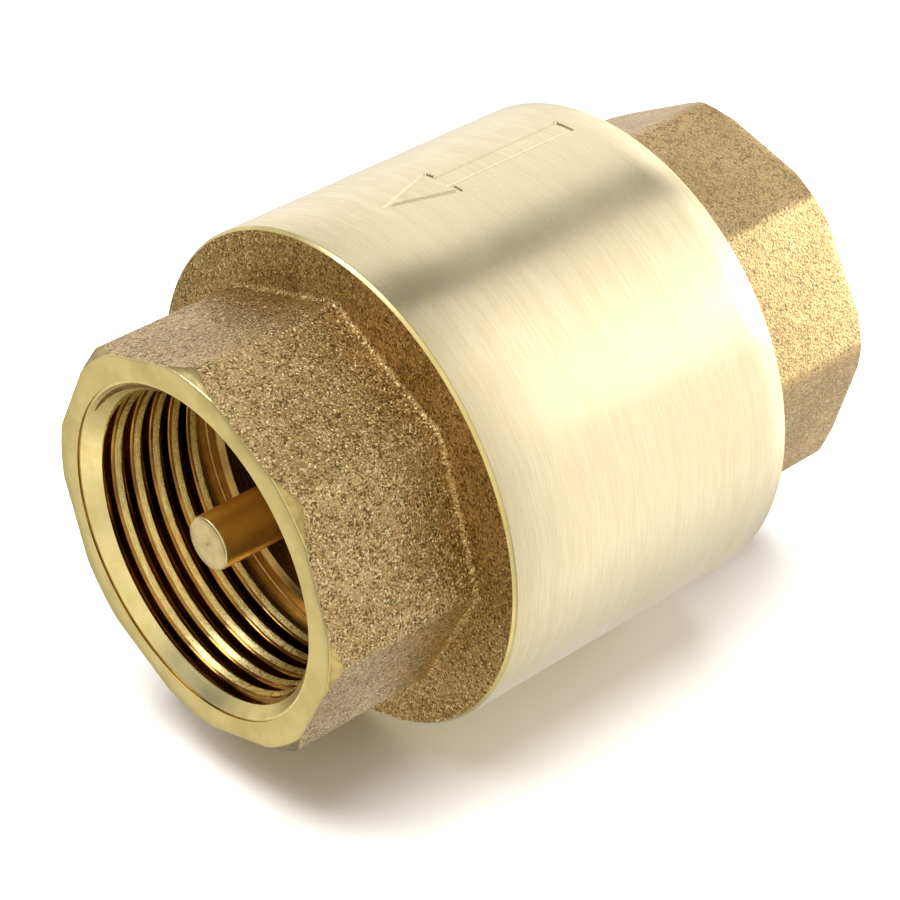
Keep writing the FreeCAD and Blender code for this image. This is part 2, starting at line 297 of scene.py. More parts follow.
def socket_inside(skin, mouth_x, away, crest_r, phase, hand):
    """Run-out groove, right-hand thread and mouth chamfer, from the groove out to the mouth."""
    phi = skin.phi
    skin.row(mouth_x + away * SHOULDER_DEPTH, OUTLET_PORT_R, "bore")
    skin.row(mouth_x + away * RELIEF_DEPTH, SHOULDER_R, "bore")
    skin.row(mouth_x + away * RELIEF_DEPTH, RELIEF_R - 0.1, "bore")
    skin.row(mouth_x + away * (RELIEF_DEPTH - 0.1), RELIEF_R, "bore")
    skin.row(mouth_x + away * (THREAD_DEPTH + 0.05), RELIEF_R, "bore")
    skin.row(mouth_x + away * THREAD_DEPTH, RELIEF_R - 0.05, "thread")
    half = sorted(set(list(THREAD_STATIONS) + [-s for s in THREAD_STATIONS if s] + [PITCH / 2]))
    first = phase + hand * PITCH * phi / 360
    depths = []
    for k in range(-3, 8):
        for s in half:
            depths.append(first + k * PITCH + s)
    depths = np.sort(np.array(depths), 0)
    depths = np.clip(depths, CONE_END, THREAD_DEPTH)
    thread = thread_radius(depths - first, crest_r)
    cone = MOUTH_R - depths
    gap = thread - cone
    radius = np.maximum(thread, cone)
    for i in range(len(depths) - 1):
        crossing = (gap[i] * gap[i + 1] < 0) & (depths[i + 1] > depths[i])
        share = np.where(crossing, gap[i] / np.where(crossing, gap[i] - gap[i + 1], 1), 0)
        at = depths[i] + share * (depths[i + 1] - depths[i])
        for row, pick in ((i, crossing & (share < 0.5)), (i + 1, crossing & (share >= 0.5))):
            depths[row] = np.where(pick, at, depths[row])
            radius[row] = np.where(pick, MOUTH_R - at, radius[row])
    on_cone = radius < MOUTH_R - depths + 1e-4
    for i in range(len(depths) - 1, 0, -1):
        both = on_cone[i] & on_cone[i - 1]
        both = both[:-1] & both[1:]
        middle = (half[i % len(half)] + half[i % len(half) - 1]) / 2 if i % len(half) else PITCH / 2
        cut = "crest" if CREST_OUTER < middle < CREST_INNER else "thread"
        band = np.where(np.append(both, False), "mouth", cut)
        skin.row(mouth_x + away * depths[i], radius[i], band)
    skin.row(mouth_x + away * depths[0], radius[0], "mouth")


def thread_rings(start_x, end_x, gap):
    """(x, r) points of the joint's thread from one x to another, gap wider than its nominal radii."""
    points = []
    count = int(round(abs(end_x - start_x) / JOINT_PITCH * 2))
    for k in range(count + 1):
        x = start_x + (end_x - start_x) * k / count
        points.append((x, (JOINT_MINOR_R if k % 2 else JOINT_MAJOR_R) + gap))
    return points


# --- Engraved flow arrow ---------------------------------------------------------------------------

ARROW_MIDDLE = 94.5        # column angle of the arrow's centre line
ARROW_HALF_ZONE = 6.4
ARROW_TAIL, ARROW_TIP = -11.0, 7.0
ARROW_HEAD = 5.5
SHAFT_HALF, HEAD_HALF = 0.9, 2.0
ARROW_LINE = 0.35
ARROW_DEPTH = 0.12
ARROW_EDGE = 0.10
ARROW_GRID = 0.07
ARROW_MARGIN = 0.6         # of the patch past the arrow's ends


def arrow_depth(x, across):
    """Depth of the engraved outline at points of the barrel, across being measured around it."""
    shoulder = ARROW_TIP - ARROW_HEAD
    half = [(ARROW_TAIL, 0), (ARROW_TAIL, SHAFT_HALF), (shoulder, SHAFT_HALF), (shoulder, HEAD_HALF),
            (ARROW_TIP, 0)]
    nearest = np.full(np.shape(x), 1e9)
    for (x0, y0), (x1, y1) in zip(half[:-1], half[1:]):
        along = (x1 - x0, y1 - y0)
        share = ((x - x0) * along[0] + (np.abs(across) - y0) * along[1]) / (along[0] ** 2 + along[1] ** 2)
        share = np.clip(share, 0, 1)
        gap = np.hypot(x - x0 - share * along[0], np.abs(across) - y0 - share * along[1])
        nearest = np.minimum(nearest, gap)
    inside = np.clip((ARROW_LINE / 2 + ARROW_EDGE / 2 - nearest) / ARROW_EDGE, 0, 1)
    return ARROW_DEPTH * inside * inside * (3 - 2 * inside)


def arrow_patch(skin, points, faces, bands, before):
    """Replaces the quads after one row in the arrow's zone by a fine grid, their neighbours by n-gons."""
    after = before + 1
    phi = skin.phi
    n = len(phi)
    angle = phi % 360
    columns = np.nonzero(np.abs(angle - ARROW_MIDDLE) < ARROW_HALF_ZONE)[0]
    first, last = columns[0], columns[-1]
    x_high, x_low = skin.rows[before][0][0], skin.rows[after][0][0]
    count = int(round((x_high - x_low) / ARROW_GRID))
    xs = np.linspace(x_high, x_low, count + 1)[1:-1]
    grid_x, grid_phi = np.meshgrid(xs, np.radians(phi[first:last + 1]), indexing="ij")
    across = BARREL_R * np.sin(grid_phi - math.radians(ARROW_MIDDLE))
    r = BARREL_R - arrow_depth(grid_x, across)
    new = np.stack([grid_x, r * np.cos(grid_phi), r * np.sin(grid_phi)], -1) * MM
    start = len(points)
    points = np.concatenate([points, new.reshape(-1, 3)])
    width = last - first + 1
    rows = [[before * n + j for j in range(first, last + 1)]]
    rows += [[start + i * width + j for j in range(width)] for i in range(len(xs))]
    rows += [[after * n + j for j in range(first, last + 1)]]
    kept_faces, kept_bands = [], []
    for face, band in zip(faces, bands):
        in_band = face[0] // n == before and face[3] // n == after
        column = face[0] - before * n
        if in_band and first - 1 <= column <= last:
            continue
        kept_faces.append(face)
        kept_bands.append(band)
    for upper, lower in zip(rows[:-1], rows[1:]):
        for j in range(width - 1):
            kept_faces.append([upper[j], upper[j + 1], lower[j + 1], lower[j]])
    left = [before * n + first - 1] + [row[0] for row in rows] + [after * n + first - 1]
    right = [row[-1] for row in rows] + [after * n + last + 1, before * n + last + 1]
    kept_faces += [left, right]
    kept_bands += [SLOTS.index(skin.bands[before])] * (len(kept_faces) - len(kept_bands))
    return points, kept_faces, kept_bands


# --- The two halves of the body ----------------------------------------------------------------------

SLOTS = ["cast", "turned", "corner", "brushed", "mouth", "thread", "crest", "bore"]


def outlet_half():
    """Barrel, outlet octagon, chamber and outlet socket."""
    zone = (ARROW_MIDDLE - ARROW_HALF_ZONE, ARROW_MIDDLE + ARROW_HALF_ZONE, 0.2)
    skin = Skin(column_angles(OUTLET_TURN, [zone]))
    c = RIM_CHAMFER
    rim, shoulder = BARREL_R - c, BARREL_R - c * 0.2
    neck_outside(skin, X_OUT, -1, OUTLET_NECK, OUTLET_TURN, rim)
    skin.ring([(X_FRONT, rim), (X_FRONT - c * 0.8, shoulder)], "turned")
    skin.row(X_FRONT - c * 1.3, BARREL_R, "brushed")
    skin.arrow_after = len(skin.rows)
    skin.row(ARROW_TIP + ARROW_MARGIN, BARREL_R, "brushed")
    skin.row(ARROW_TAIL - ARROW_MARGIN, BARREL_R, "brushed")
    skin.row(X_BACK + c * 1.3, BARREL_R, "turned")
    skin.ring([(X_BACK + c * 0.8, shoulder), (X_BACK, rim)], "turned")
    skin.row(X_BACK, JOINT_MAJOR_R + RADIAL_GAP + SEAM_CHAMFER, "bore")
    skin.ring(thread_rings(X_BACK + JOINT_LEAD, JOINT_END_X, RADIAL_GAP), "bore")
    bore, seat = NOSE_R + RADIAL_GAP, GUIDE_RING_R + RADIAL_GAP
    skin.ring([(JOINT_END_X, bore), (NOSE_X, bore), (NOSE_X, CHAMBER_R), (CHAMBER_END_X, CHAMBER_R),
               (GUIDE_X[0] - GUIDE_LEAD, seat), (GUIDE_X[1], seat), (GUIDE_X[1], OUTLET_PORT_R)], "bore")
    socket_inside(skin, X_OUT, -1, OUTLET_CREST_R, OUTLET_PHASE, -1)
    return skin.mesh("valve_barrel", SLOTS)


def inlet_half():
    """Inlet octagon, joint thread, nose with its groove, seat and inlet socket."""
    skin = Skin(column_angles(INLET_TURN))
    seam_r = JOINT_MAJOR_R - SEAM_CHAMFER
    neck_outside(skin, X_IN, 1, INLET_NECK, INLET_TURN, seam_r)
    skin.row(X_BACK, seam_r, "bore")
    skin.ring(thread_rings(X_BACK + JOINT_LEAD, JOINT_END_X, 0), "bore")
    skin.ring([(JOINT_END_X, NOSE_R), (GROOVE_X[0], NOSE_R), (GROOVE_X[0], GROOVE_BOTTOM_R),
               (GROOVE_X[1], GROOVE_BOTTOM_R), (GROOVE_X[1], NOSE_R), (NOSE_X - NOSE_CHAMFER, NOSE_R),
               (NOSE_X, NOSE_R - NOSE_CHAMFER), (NOSE_X, SEAT_R[1]), (SEAT_X - SEAT_ROUND, SEAT_R[1]),
               (SEAT_X, SEAT_R[1] - SEAT_ROUND), (SEAT_X, SEAT_R[0] + SEAT_ROUND),
               (SEAT_X - SEAT_ROUND, SEAT_R[0]), (X_IN + SHOULDER_DEPTH, INLET_PORT_R)], "bore")
    socket_inside(skin, X_IN, 1, INLET_CREST_R, INLET_PHASE, 1)
    return skin.mesh("valve_inlet", SLOTS)


# --- Turned parts and the spring ---------------------------------------------------------------------


def lathe(name, points, band_names, slots, columns=120):
    """Turned piece from a closed outline of (x, r) points, each with the band that follows it."""
    skin = Skin(np.linspace(0, 360, columns + 1))
    for (x, r), band in zip(points, band_names):
        skin.row(x, r, band)
    return skin.mesh(name, slots)


def stem_mesh():
    """Guide rod with a finely rounded tip and a centre mark, its collar, and rings for the nut's thread."""
    tip, tail = STEM_HIGH.x, STEM_LOW.x
    outline = [(tip, 0.0), (tip - 0.06, 0.12), (tip, 0.3), (tip, STEM_R - 0.14), (tip - 0.02, STEM_R - 0.10),
               (tip - 0.10, STEM_R - 0.02), (tip - 0.16, STEM_R)]
    bands = ["end"] * 6 + ["side"]
    outline += [(COLLAR_X[1], STEM_R), (COLLAR_X[1], COLLAR_R - COLLAR_CHAMFER),
                (COLLAR_X[1] - COLLAR_CHAMFER, COLLAR_R), (COLLAR_X[0], COLLAR_R), (COLLAR_X[0], STUD_R),
                (STUD_THREAD_X, STUD_R)]
    bands += ["side"] * 6
    first, last = STUD_THREAD_X - 0.05, tail + STUD_CHAMFER
    for k in range(STUD_TURNS * 2 + 1):
        x = first + (last - first) * k / (STUD_TURNS * 2)
        outline.append((x, STUD_ROOT_R if k % 2 else STUD_CREST_R))
        bands.append("side")
    outline += [(tail, STUD_ROOT_R - 0.02), (tail, 0.0)]
    bands += ["end", "end"]
    return lathe("stem_rod", outline, bands, ["side", "end"])


def spring_mesh():
    """Round-wire compression spring with closed, ground ends."""
    steps, sides, ground = 72, 20, 0.02
    total = int(SPRING_TURNS * steps)
    turn = np.arange(total + 1) / steps
    span = SPRING_END - SPRING_START - 2 * WIRE_R
    closed = CLOSED_TURNS * COIL_STEP
    pitch = (span - 2 * closed) / (SPRING_TURNS - 2 * CLOSED_TURNS)
    last_turns = span - (SPRING_TURNS - turn) * COIL_STEP
    middle = closed + (turn - CLOSED_TURNS) * pitch
    rise = np.where(turn < CLOSED_TURNS, turn * COIL_STEP, np.minimum(middle, last_turns))
    rise = np.where(turn > SPRING_TURNS - CLOSED_TURNS, last_turns, rise)
    around = np.radians(turn * 360 + 20)
    side = np.linspace(0, 2 * math.pi, sides, endpoint=False)
    x = (SPRING_START + WIRE_R + rise)[:, None] + WIRE_R * np.sin(side)
    x = np.clip(x, SPRING_START + ground, SPRING_END - ground)
    r = SPRING_R + WIRE_R * np.cos(side)
    points = np.stack([x, r * np.cos(around)[:, None], r * np.sin(around)[:, None]], -1).reshape(-1, 3) * MM
    faces = []
    for i in range(total):
        for j in range(sides):
            k = (j + 1) % sides
            faces.append([i * sides + j, i * sides + k, (i + 1) * sides + k, (i + 1) * sides + j])
    faces.append(list(range(sides)))
    faces.append([total * sides + j for j in range(sides)])
    return solid_mesh("spring_coil", points, faces, [0] * len(faces), 1, 60)


# --- Materials ---------------------------------------------------------------------------------------


class Shader:
    """Node tree of one material, with short calls for the nodes used here."""

    def __init__(self, name, color, rough, metallic=1.0):
        self.material = bpy.data.materials.new(name)
        self.material.use_nodes = True
        self.tree = self.material.node_tree
        self.surface = self.tree.nodes["Principled BSDF"]
        self.place = self.node("TexCoord").outputs["Object"]
        self.set("Base Color", color)
        self.set("Roughness", rough)
        self.set("Metallic", metallic)

    def put(self, socket, value):
        if isinstance(value, bpy.types.NodeSocket):
            self.tree.links.new(value, socket)
        elif isinstance(value, tuple) and len(value) == 3 and socket.type == "RGBA":
            socket.default_value = (*value, 1)
        else:
            socket.default_value = value

    def set(self, socket, value):
        self.put(self.surface.inputs[socket], value)

    def node(self, kind, inputs=(), **settings):
        node = self.tree.nodes.new("ShaderNode" + kind)
        for key, value in settings.items():
            setattr(node, key, value)
        for socket, value in dict(inputs).items():
            self.put(node.inputs[socket], value)
        return node

    def scaled(self, x, y, z):
        """Object position times a size for each axis, per millimetre."""
        inputs = {"Vector": self.place, "Scale": (x / MM, y / MM, z / MM)}
        return self.node("Mapping", inputs).outputs["Vector"]

    def noise(self, vector, detail=2.0, rough=0.5):
        inputs = {"Vector": vector, "Scale": 1.0, "Detail": detail, "Roughness": rough}
        return self.node("TexNoise", inputs).outputs["Fac"]

    def cells(self, vector):
        """Random colour for each cell, one cell per unit of the vector."""
        return self.node("TexVoronoi", {"Vector": vector, "Scale": 1.0}, feature="F1").outputs["Color"]

    def math(self, operation, a, b=0.0):
        return self.node("Math", {0: a, 1: b}, operation=operation).outputs[0]

    def remap(self, value, low, high, to_low, to_high):
        inputs = {"Value": value, "From Min": low, "From Max": high, "To Min": to_low, "To Max": to_high}
        return self.node("MapRange", inputs, interpolation_type="SMOOTHSTEP").outputs["Result"]

    def blend(self, share, a, b):
        node = self.node("Mix", data_type="RGBA")
        self.put(node.inputs[0], share)
        self.put(node.inputs[6], a)
        self.put(node.inputs[7], b)
        return node.outputs[2]

    def bump(self, height, strength, distance, normal=None):
        inputs = {"Height": height, "Strength": strength, "Distance": distance * MM}
        if normal:
            inputs["Normal"] = normal
        return self.node("Bump", inputs).outputs["Normal"]

    def radius(self):
        """Distance from the flow axis in millimetres."""
        parts = self.node("SeparateXYZ", {"Vector": self.place}).outputs
        square = self.math("ADD", self.math("MULTIPLY", parts["Y"], parts["Y"]),
                           self.math("MULTIPLY", parts["Z"], parts["Z"]))
        return self.math("MULTIPLY", self.math("SQRT", square), 1 / MM)

    def along(self):
        """Position along the flow axis in millimetres."""
        return self.math("MULTIPLY", self.node("SeparateXYZ", {"Vector": self.place}).outputs["X"], 1 / MM)

    def fine_lines(self, value, per_mm, detail=3.0):
        """Noise that only varies with one value, for tool marks."""
        inputs = {"W": value, "Scale": per_mm, "Detail": detail, "Roughness": 0.6}
        return self.node("TexNoise", inputs, noise_dimensions="1D").outputs["Fac"]


def cast_brass(name, relief_height, lean_share, hollow_tone, grain_share):
    """Blasted raw casting: brown-tan skin with bright grains."""
    s = Shader(name, (0.4, 0.3, 0.2), 0.5)
    grain = s.noise(s.scaled(5.4, 5.4, 5.4), 2.5, 0.55)
    coarse = s.noise(s.scaled(1.5, 1.5, 1.5), 3.0, 0.6)
    patches = s.noise(s.scaled(0.16, 0.16, 0.16), 2.0, 0.5)
    fleck = s.cells(s.scaled(6.6, 6.6, 6.6))
    relief = s.math("ADD", grain, s.math("MULTIPLY", coarse, 0.6))
    bumped = s.bump(relief, relief_height, 0.2)
    spread = s.node("VectorMath", {0: fleck, 1: (0.5, 0.5, 0.5)}, operation="SUBTRACT").outputs[0]
    lean = s.node("VectorMath", {0: spread, 3: lean_share}, operation="SCALE").outputs[0]
    tilted = s.node("VectorMath", {0: bumped, 1: lean}, operation="ADD").outputs[0]
    s.set("Normal", s.node("VectorMath", {0: tilted}, operation="NORMALIZE").outputs[0])
    skin = s.blend(s.remap(patches, 0.35, 0.65, 0, 1), (0.51, 0.34, 0.14), (0.64, 0.44, 0.20))
    hollow = s.blend(s.remap(relief, 0.62, 0.84, 0, 1), hollow_tone, skin)
    tone = s.node("SeparateColor", {"Color": fleck}).outputs
    warm = s.blend(tone["Green"], (0.99, 0.80, 0.38), (1.0, 0.82, 0.56))
    picked = s.remap(tone["Red"], 0.50, 0.9, 0, grain_share)
    share = s.math("MULTIPLY", picked, s.remap(grain, 0.44, 0.60, 0, 1))
    s.set("Base Color", s.blend(share, hollow, warm))
    s.set("Roughness", s.remap(share, 0, 1, 0.40, 0.20))
    return s.material


def turned_face():
    """Face turned on a lathe: fine rings around the flow axis."""
    s = Shader("turned_brass", (0.90, 0.79, 0.46), 0.32)
    rings = s.fine_lines(s.radius(), 9.0)
    smear = s.noise(s.scaled(0.35, 0.35, 0.35), 3.0, 0.6)
    s.set("Base Color", s.blend(s.remap(smear, 0.3, 0.7, 0, 1), (0.74, 0.66, 0.33), (0.83, 0.74, 0.41)))
    s.set("Roughness", s.remap(smear, 0.3, 0.7, 0.40, 0.30))
    s.set("Normal", s.bump(rings, 0.12, 0.06, s.bump(smear, 0.12, 0.3)))
    return s.material


def cut_corner():
    """Octagon corners cut back on the lathe, duller than the face."""
    s = Shader("corner_brass", (0.52, 0.43, 0.20), 0.4)
    rings = s.fine_lines(s.along(), 6.0)
    smear = s.noise(s.scaled(0.9, 0.9, 0.9), 3.0, 0.6)
    s.set("Base Color", s.blend(s.remap(smear, 0.3, 0.7, 0, 1), (0.44, 0.36, 0.16), (0.62, 0.52, 0.26)))
    s.set("Roughness", s.remap(smear, 0.3, 0.7, 0.46, 0.36))
    s.set("Normal", s.bump(rings, 0.25, 0.06))
    return s.material


def brushed_barrel():
    """Barrel finished with a belt: fine strokes around the flow axis."""
    s = Shader("brushed_brass", (0.93, 0.82, 0.57), 0.26)
    strokes = s.noise(s.scaled(9.0, 0.30, 0.30), 4.0, 0.65)
    bands = s.noise(s.scaled(1.1, 0.05, 0.05), 3.0, 0.6)
    cloud = s.noise(s.scaled(0.12, 0.12, 0.12), 3.0, 0.6)
    both = s.math("ADD", s.math("MULTIPLY", strokes, 0.7), s.math("MULTIPLY", bands, 0.3))
    s.set("Base Color", s.blend(s.remap(both, 0.35, 0.65, 0, 1), (0.91, 0.75, 0.46), (0.98, 0.85, 0.57)))
    worn = s.remap(cloud, 0.35, 0.7, 0.0, 0.06)
    s.set("Roughness", s.math("ADD", s.remap(both, 0.3, 0.7, 0.28, 0.20), worn))
    s.set("Anisotropic", 0.8)
    s.set("Anisotropic Rotation", 0.25)
    s.set("Tangent", s.node("Tangent", direction_type="RADIAL", axis="X").outputs[0])
    s.set("Normal", s.bump(strokes, 0.06, 0.05))
    return s.material


def mouth_cone():
    """Lead-in cone of the thread, smoother and brighter than the face."""
    s = Shader("mouth_brass", (0.93, 0.83, 0.52), 0.22)
    rings = s.fine_lines(s.along(), 7.0)
    stain = s.noise(s.scaled(0.5, 0.5, 0.5), 3.0, 0.6)
    s.set("Base Color", s.blend(s.remap(stain, 0.35, 0.7, 0, 1), (0.93, 0.85, 0.50), (0.84, 0.74, 0.38)))
    s.set("Roughness", s.remap(stain, 0.3, 0.7, 0.30, 0.38))
    s.set("Normal", s.bump(rings, 0.15, 0.05))
    return s.material


def cut_thread_painted_shade():
    """Tapped flanks and roots: a stain, with dark browns painted for the shade inside the thread."""
    s = Shader("thread_brass_painted_shade", (0.40, 0.22, 0.06), 0.14)
    strokes = s.noise(s.scaled(7.0, 0.6, 0.6), 4.0, 0.6)
    stain = s.noise(s.scaled(0.3, 0.3, 0.3), 3.0, 0.6)
    # Painted shade: the flank and root colours are darkened to stand in for the shade in the thread's
    # grooves, over a random stain.
    s.set("Base Color", s.blend(s.remap(stain, 0.3, 0.7, 0, 1), (0.42, 0.23, 0.06), (0.24, 0.12, 0.03)))
    s.set("Roughness", s.remap(strokes, 0.3, 0.7, 0.09, 0.18))
    s.set("Normal", s.bump(strokes, 0.2, 0.05))
    return s.material


def rubbed_crest():
    """Thread crests rubbed pale by the tap, with fine strokes along them."""
    s = Shader("crest_brass", (0.88, 0.80, 0.50), 0.3)
    strokes = s.noise(s.scaled(11.0, 0.9, 0.9), 3.0, 0.6)
    torn = s.noise(s.scaled(3.0, 3.0, 3.0), 4.0, 0.7)
    s.set("Base Color", s.blend(s.remap(strokes, 0.35, 0.65, 0, 1), (0.66, 0.54, 0.24), (0.93, 0.84, 0.44)))
    s.set("Roughness", s.remap(torn, 0.35, 0.7, 0.24, 0.42))
    s.set("Normal", s.bump(strokes, 0.25, 0.05, s.bump(torn, 0.2, 0.05)))
    return s.material


def bored_brass_painted_shade():
    """Machined inside of the body: tarnish, with darker browns painted for the shade inside."""
    s = Shader("bore_brass_painted_shade", (0.62, 0.43, 0.19), 0.3)
    rings = s.fine_lines(s.along(), 5.0)
    stain = s.noise(s.scaled(0.4, 0.4, 0.4), 3.0, 0.6)
    # Painted shade: the inside is coloured darker brown to stand in for the shade deep in the body, over a
    # random stain.
    s.set("Base Color", s.blend(s.remap(stain, 0.3, 0.7, 0, 1), (0.62, 0.42, 0.17), (0.45, 0.28, 0.10)))
    s.set("Roughness", s.remap(rings, 0.3, 0.7, 0.24, 0.36))
    s.set("Normal", s.bump(rings, 0.2, 0.05))
    return s.material


def bar_side(name, light, dark, rough):
    """Side of a part turned from bar."""
    s = Shader(name, light, rough)
    rings = s.fine_lines(s.along(), 4.0)
    stain = s.noise(s.scaled(0.35, 0.5, 0.5), 3.0, 0.6)
    s.set("Base Color", s.blend(s.remap(stain, 0.35, 0.7, 0, 1), light, dark))
    s.set("Roughness", s.remap(rings, 0.3, 0.7, rough - 0.02, rough + 0.03))
    s.set("Normal", s.bump(rings, 0.012, 0.05))
    return s.material


def bar_end(name, light, dark, rough):
    """End of a part turned from bar, with rings and a few radial smears."""
    s = Shader(name, light, rough)
    rings = s.fine_lines(s.radius(), 8.0)
    stain = s.noise(s.scaled(0.9, 0.9, 0.9), 3.0, 0.6)
    s.set("Base Color", s.blend(s.remap(stain, 0.35, 0.7, 0, 1), light, dark))
    s.set("Roughness", s.remap(rings, 0.3, 0.7, rough - 0.05, rough + 0.07))
    s.set("Normal", s.bump(rings, 0.3, 0.06))
    return s.material


def rubber():
    """Black moulded rubber with a little dust."""
    s = Shader("black_rubber", (0.02, 0.02, 0.022), 0.5, 0.0)
    dust = s.noise(s.scaled(1.5, 1.5, 1.5), 4.0, 0.6)
    s.set("Base Color", s.blend(s.remap(dust, 0.45, 0.75, 0, 1), (0.016, 0.016, 0.018), (0.05, 0.05, 0.05)))
    s.set("Roughness", s.remap(dust, 0.3, 0.7, 0.42, 0.6))
    s.set("Normal", s.bump(dust, 0.2, 0.05))
    return s.material


def plastic():
    """White moulded acetal."""
    s = Shader("white_plastic", (0.85, 0.84, 0.8), 0.4, 0.0)
    cloud = s.noise(s.scaled(0.8, 0.8, 0.8), 3.0, 0.6)
    s.set("Base Color", s.blend(s.remap(cloud, 0.35, 0.7, 0, 1), (0.86, 0.85, 0.81), (0.76, 0.74, 0.69)))
    s.set("Roughness", s.remap(cloud, 0.3, 0.7, 0.35, 0.5))
    s.set("Normal", s.bump(cloud, 0.15, 0.05))
    return s.material


def steel(name, color):
    """Drawn or stamped stainless steel."""
    s = Shader(name, color, 0.25)
    drawn = s.noise(s.scaled(5.0, 5.0, 5.0), 3.0, 0.6)
    s.set("Base Color", s.blend(s.remap(drawn, 0.35, 0.7, 0, 1), color, tuple(c * 0.8 for c in color)))
    s.set("Roughness", s.remap(drawn, 0.3, 0.7, 0.2, 0.34))
    s.set("Normal", s.bump(drawn, 0.1, 0.03))
    return s.material


machined = [turned_face(), cut_corner(), brushed_barrel(), mouth_cone(), cut_thread_painted_shade(), rubbed_crest(),
            bored_brass_painted_shade()]
outlet_side = [cast_brass("cast_brass", 0.66, 0.42, (0.19, 0.12, 0.045), 1.0)] + machined
# Painted light: the inlet octagon's casting has lighter hollows than the outlet's, so it reads brighter, as
# if lit more; its grain is also finer.
inlet_side = [cast_brass("cast_brass_fine_painted_light", 0.36, 0.22, (0.36, 0.25, 0.12), 0.6)] + machined
stem_side = bar_side("stem_brass", (0.98, 0.60, 0.16), (0.90, 0.48, 0.10), 0.30)
stem_end = bar_end("stem_end_brass", (0.86, 0.77, 0.50), (0.74, 0.63, 0.36), 0.34)
guide_brass = bar_side("guide_brass", (0.66, 0.47, 0.20), (0.50, 0.33, 0.12), 0.3)
disc_brass = bar_end("disc_brass", (0.84, 0.70, 0.40), (0.72, 0.56, 0.28), 0.3)
coil_steel = steel("spring_steel", (0.66, 0.65, 0.63))
sheet_steel = steel("washer_steel", (0.72, 0.71, 0.69))
black = rubber()
white = plastic()

# --- Pieces ------------------------------------------------------------------------------------------

add_piece("valve_barrel", outlet_half(), outlet_side, "valve_body", "forged_brass", "body")
add_piece("valve_inlet", inlet_half(), inlet_side, "valve_body", "forged_brass", "end_connection")
add_piece("stem_rod", stem_mesh(), [stem_side, stem_end], "valve_core", "turned_brass", "stem")
coil = add_piece("spring_coil", spring_mesh(), [coil_steel], "valve_body", "stainless_steel", "spring")
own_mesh(coil)

CAD_LOOKS = {
    "outlet_guide": guide_brass,
    "guide_bush": white,
    "valve_disc": disc_brass,
    "seal_washer": disc_brass,
    "stem_nut": disc_brass,
    "seat_seal": black,
    "joint_o_ring": black,
    "lock_washer": sheet_steel,
}
for node_name, material in CAD_LOOKS.items():
    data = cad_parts[node_name].data
    data.materials.clear()
    data.materials.append(material)

# --- Floor, lights and camera ------------------------------------------------------------------------

FLOOR_REACH = 60   # from the middle to each edge, in lengths of the valve

low, high = cad_bounds
centre, size = (low + high) / 2, high - low

floor_mesh = bpy.data.meshes.new("floor")
side = size.x * FLOOR_REACH
corners = [(-side, -side, low.z), (side, -side, low.z), (side, side, low.z), (-side, side, low.z)]
floor_mesh.from_pydata(corners, [], [(0, 1, 2, 3)])
floor = bpy.data.objects.new("floor", floor_mesh)
paper = Shader("paper", (0.90, 0.89, 0.88), 0.9, 0.0)
paper.set("Specular IOR Level", 0.0)
grain = paper.noise(paper.scaled(0.02, 0.02, 0.02))
paper.set("Base Color", paper.blend(grain, (0.73, 0.722, 0.715), (0.745, 0.737, 0.73)))
floor_mesh.materials.append(paper.material)
bpy.context.scene.collection.objects.link(floor)
# Only the camera sees the floor: it stays out of reflections, bounces and shadows.
floor.visible_glossy = False
floor.visible_shadow = False
floor.visible_diffuse = False

# Studio surroundings by direction: white soft boxes around the flow axis with a dark gap overhead, and
# dark in front of the outlet apart from a few soft warm cards.
world = bpy.data.worlds.new("studio")
bpy.context.scene.world = world
world.use_nodes = True
sky = world.node_tree


def sky_node(kind, inputs=(), **settings):
    node = sky.nodes.new("ShaderNode" + kind)
    for key, value in settings.items():
        setattr(node, key, value)
    for socket, value in dict(inputs).items():
        if isinstance(value, bpy.types.NodeSocket):
            sky.links.new(value, node.inputs[socket])
        else:
            node.inputs[socket].default_value = value
    return node


def ramp(value, start, end, low, high):
    """Smooth step from one level to another while a value goes from start to end."""
    inputs = {"Value": value, "From Min": start, "From Max": end, "To Min": low, "To Max": high}
    return sky_node("MapRange", inputs, interpolation_type="SMOOTHSTEP").outputs["Result"]


def card(aim, start, end, level):
    """Round soft card: its level within the cosine end of a direction, nothing outside the cosine start."""
    inputs = {0: direction, 1: tuple(Vector(aim).normalized())}
    cosine = sky_node("VectorMath", inputs, operation="DOT_PRODUCT").outputs["Value"]
    return ramp(cosine, start, end, 0.0, level)


def joined(operation, a, b):
    return sky_node("Math", {0: a, 1: b}, operation=operation).outputs[0]


direction = sky_node("TexCoord").outputs["Generated"]
parts = sky_node("SeparateXYZ", {"Vector": direction}).outputs
turn = sky_node("Math", {0: parts["Z"], 1: parts["Y"]}, operation="ARCTAN2").outputs[0]
share = sky_node("MapRange", {"Value": turn, "From Min": -math.pi, "From Max": math.pi}).outputs["Result"]

# Degrees from +Y over the top, and how bright. Tuned towards the photo's light and dark bands.
SOFT_BOXES = ((-180, 1.1), (-125, 0.65), (-90, 0.7), (-45, 1.1), (10, 1.05), (60, 1.2), (86, 0.8), (93, 0.3),
              (103, 0.3), (115, 0.85), (145, 1.0), (180, 1.1))
PEAK = 2.0   # brightness at the top of the colour ramp
WARM = (0.97, 0.86, 0.60)
around = sky_node("ValToRGB", {"Fac": share})
stops = around.color_ramp.elements
for degrees, level in SOFT_BOXES:
    at = (degrees + 180) / 360
    spot = stops[0] if at == 0 else stops[-1] if at == 1 else stops.new(at)
    spot.color = (level / PEAK, level / PEAK, level / PEAK, 1)
front = ramp(parts["X"], -0.50, 0.18, PEAK, 0.10)
ring = sky_node("VectorMath", {0: around.outputs["Color"], 3: front}, operation="SCALE").outputs[0]

